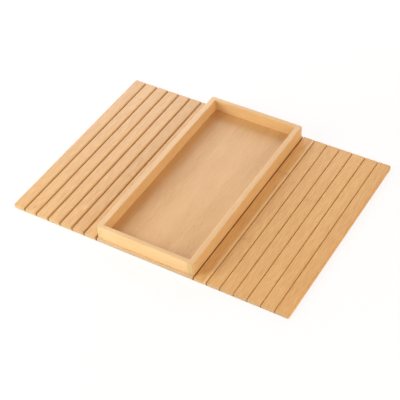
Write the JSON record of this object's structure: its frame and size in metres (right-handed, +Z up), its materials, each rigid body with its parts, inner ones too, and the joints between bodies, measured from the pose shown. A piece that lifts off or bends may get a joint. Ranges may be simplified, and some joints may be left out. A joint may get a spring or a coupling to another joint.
{
  "type": "sofa armrest tray",
  "caption": "Shallow bamboo box on a mat of cloth-backed slats that bends over the arm of a sofa and holds cups and small things.",
  "frame": {"origin": "middle of the mat's underside, on the surface that the tray lies on when it is spread out flat", "axes": "+X across the slats, +Y along the slats, +Z up out of the box"},
  "size_m": [0.4418, 0.328, 0.0281],
  "materials": {
    "bamboo": "natural bamboo, clear satin lacquer",
    "floor_veneer": "fine bamboo veneer, clear satin lacquer",
    "backing_cloth": "plain-woven cotton canvas, natural beige"
  },
  "bodies": {
    "box": {"base_board": "bamboo", "base_backing": "backing_cloth", "left_wall": "bamboo", "right_wall": "bamboo", "front_wall": "bamboo", "rear_wall": "bamboo", "floor_panel": "floor_veneer"},
    "right_slat_1": {"right_slat_1": "bamboo", "right_backing_1": "backing_cloth"},
    "right_slat_2": {"right_slat_2": "bamboo", "right_backing_2": "backing_cloth"},
    "right_slat_3": {"right_slat_3": "bamboo", "right_backing_3": "backing_cloth"},
    "right_slat_4": {"right_slat_4": "bamboo", "right_backing_4": "backing_cloth"},
    "right_slat_5": {"right_slat_5": "bamboo", "right_backing_5": "backing_cloth"},
    "right_slat_6": {"right_slat_6": "bamboo", "right_backing_6": "backing_cloth"},
    "right_slat_7": {"right_slat_7": "bamboo", "right_backing_7": "backing_cloth"},
    "left_slat_1": {"left_slat_1": "bamboo", "left_backing_1": "backing_cloth"},
    "left_slat_2": {"left_slat_2": "bamboo", "left_backing_2": "backing_cloth"},
    "left_slat_3": {"left_slat_3": "bamboo", "left_backing_3": "backing_cloth"},
    "left_slat_4": {"left_slat_4": "bamboo", "left_backing_4": "backing_cloth"},
    "left_slat_5": {"left_slat_5": "bamboo", "left_backing_5": "backing_cloth"},
    "left_slat_6": {"left_slat_6": "bamboo", "left_backing_6": "backing_cloth"},
    "left_slat_7": {"left_slat_7": "bamboo", "left_backing_7": "backing_cloth"}
  },
  "joints": [
    {"name": "right_fold_1", "type": "hinge", "parent": "box", "child": "right_slat_1", "pos_m": [0.0781, 0, 0.0004], "axis": [0, 1, 0], "range_deg": [-10, 40]},
    {"name": "right_fold_2", "type": "hinge", "parent": "right_slat_1", "child": "right_slat_2", "pos_m": [0.0983, 0, 0.0004], "axis": [0, 1, 0], "range_deg": [-10, 40]},
    {"name": "right_fold_3", "type": "hinge", "parent": "right_slat_2", "child": "right_slat_3", "pos_m": [0.1188, 0, 0.0004], "axis": [0, 1, 0], "range_deg": [-10, 40]},
    {"name": "right_fold_4", "type": "hinge", "parent": "right_slat_3", "child": "right_slat_4", "pos_m": [0.1393, 0, 0.0004], "axis": [0, 1, 0], "range_deg": [-10, 40]},
    {"name": "right_fold_5", "type": "hinge", "parent": "right_slat_4", "child": "right_slat_5", "pos_m": [0.1598, 0, 0.0004], "axis": [0, 1, 0], "range_deg": [-10, 40]},
    {"name": "right_fold_6", "type": "hinge", "parent": "right_slat_5", "child": "right_slat_6", "pos_m": [0.1803, 0, 0.0004], "axis": [0, 1, 0], "range_deg": [-10, 40]},
    {"name": "right_fold_7", "type": "hinge", "parent": "right_slat_6", "child": "right_slat_7", "pos_m": [0.2008, 0, 0.0004], "axis": [0, 1, 0], "range_deg": [-10, 40]},
    {"name": "left_fold_1", "type": "hinge", "parent": "box", "child": "left_slat_1", "pos_m": [-0.0781, 0, 0.0004], "axis": [0, -1, 0], "range_deg": [-10, 40]},
    {"name": "left_fold_2", "type": "hinge", "parent": "left_slat_1", "child": "left_slat_2", "pos_m": [-0.0983, 0, 0.0004], "axis": [0, -1, 0], "range_deg": [-10, 40]},
    {"name": "left_fold_3", "type": "hinge", "parent": "left_slat_2", "child": "left_slat_3", "pos_m": [-0.1188, 0, 0.0004], "axis": [0, -1, 0], "range_deg": [-10, 40]},
    {"name": "left_fold_4", "type": "hinge", "parent": "left_slat_3", "child": "left_slat_4", "pos_m": [-0.1393, 0, 0.0004], "axis": [0, -1, 0], "range_deg": [-10, 40]},
    {"name": "left_fold_5", "type": "hinge", "parent": "left_slat_4", "child": "left_slat_5", "pos_m": [-0.1598, 0, 0.0004], "axis": [0, -1, 0], "range_deg": [-10, 40]},
    {"name": "left_fold_6", "type": "hinge", "parent": "left_slat_5", "child": "left_slat_6", "pos_m": [-0.1803, 0, 0.0004], "axis": [0, -1, 0], "range_deg": [-10, 40]},
    {"name": "left_fold_7", "type": "hinge", "parent": "left_slat_6", "child": "left_slat_7", "pos_m": [-0.2008, 0, 0.0004], "axis": [0, -1, 0], "range_deg": [-10, 40]}
  ]
}
